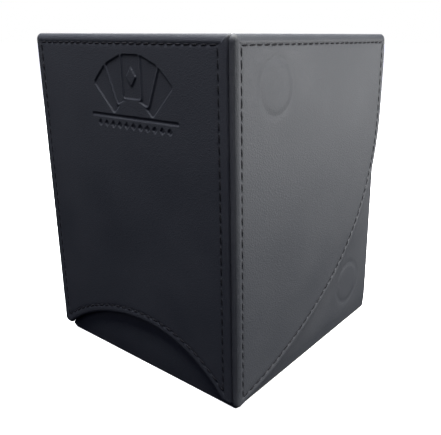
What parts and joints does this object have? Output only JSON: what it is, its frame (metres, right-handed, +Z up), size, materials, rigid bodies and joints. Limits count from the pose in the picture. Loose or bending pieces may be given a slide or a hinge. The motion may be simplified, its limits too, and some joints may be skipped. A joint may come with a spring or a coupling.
{
  "type": "card deck box",
  "caption": "Leatherette deck box for trading cards: an open-topped card tub under a lift-off magnetic lid with a front, top and two sides.",
  "frame": {"origin": "middle of the footprint, on the surface that the box stands on", "axes": "+Z up and the way the lid lifts; the lid's front panel faces -Y; +X to the right seen from the front"},
  "size_m": [0.08, 0.081, 0.102],
  "materials": {
    "lid_leather": "satin grained black PU leather",
    "tub_leather": "satin grained black PU leather",
    "board": "matt grey board",
    "lining": "matt microfibre",
    "thread": "waxed black thread",
    "magnet": "nickel-plated magnet"
  },
  "bodies": {
    "tub": {"tub_back_board": "board", "tub_back_lining": "lining", "tub_base_board": "board", "tub_base_leather": "tub_leather", "tub_base_lining": "lining", "tub_front_board": "board", "tub_front_lining": "lining", "tub_left_board": "board", "tub_left_lining": "lining", "tub_left_lower_magnet": "magnet", "tub_left_upper_magnet": "magnet", "tub_outer_leather": "tub_leather", "tub_right_board": "board", "tub_right_lining": "lining", "tub_right_lower_magnet": "magnet", "tub_right_upper_magnet": "magnet"},
    "lid": {"lid_front_board": "board", "lid_front_leather": "lid_leather", "lid_front_lining": "lining", "lid_front_thread": "thread", "lid_left_board": "board", "lid_left_leather": "lid_leather", "lid_left_lining": "lining", "lid_left_magnet": "magnet", "lid_left_thread": "thread", "lid_right_board": "board", "lid_right_leather": "lid_leather", "lid_right_lining": "lining", "lid_right_magnet": "magnet", "lid_right_thread": "thread", "lid_top_board": "board", "lid_top_leather": "lid_leather", "lid_top_lining": "lining", "lid_top_thread": "thread"}
  },
  "joints": [
    {"name": "lid_lift", "type": "slide", "parent": "tub", "child": "lid", "axis": [0, 0, 1], "range_m": [0, 0.105]}
  ]
}
